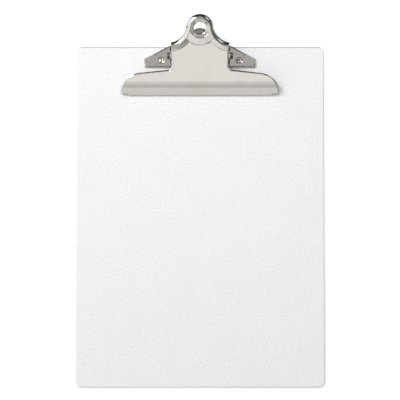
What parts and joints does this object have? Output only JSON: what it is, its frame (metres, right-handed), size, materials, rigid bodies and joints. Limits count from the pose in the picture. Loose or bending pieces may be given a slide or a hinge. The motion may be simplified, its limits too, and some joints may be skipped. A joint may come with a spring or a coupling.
{
  "type": "clipboard",
  "caption": "Letter-size clipboard: frosted plastic board with a sprung steel lever clip, riveted at the top, and a hanging hole in its thumb plate.",
  "frame": {"origin": "centre of the board's flat back face", "axes": "+X across the board to the right, +Y up the board towards the clip, +Z out of the front face"},
  "size_m": [0.2286, 0.3424, 0.0349],
  "materials": {
    "board": "frosted clear plastic with a fine pebbled face",
    "base_plate": "bright nickel plate",
    "lever": "bright nickel plate",
    "pivot_pin": "bright nickel plate",
    "spring": "drawn spring wire",
    "rivet": "bright nickel plate",
    "washer": "zinc-plated steel"
  },
  "bodies": {
    "board_body": {"board": "board", "base_plate": "base_plate", "pivot_pin": "pivot_pin", "spring_left": "spring", "spring_right": "spring", "rivet_left": "rivet", "rivet_right": "rivet", "rivet_washer_left": "washer", "rivet_washer_right": "washer"},
    "lever_body": {"lever": "lever"}
  },
  "joints": [
    {"name": "lever_hinge", "type": "hinge", "parent": "board_body", "child": "lever_body", "pos_m": [0, 0.14935, 0.014], "axis": [-1, 0, 0], "range_deg": [0, 30], "stiffness_Nm_per_rad": 1.2, "springref_deg": -34.38, "deforming": ["spring_left", "spring_right"]}
  ]
}
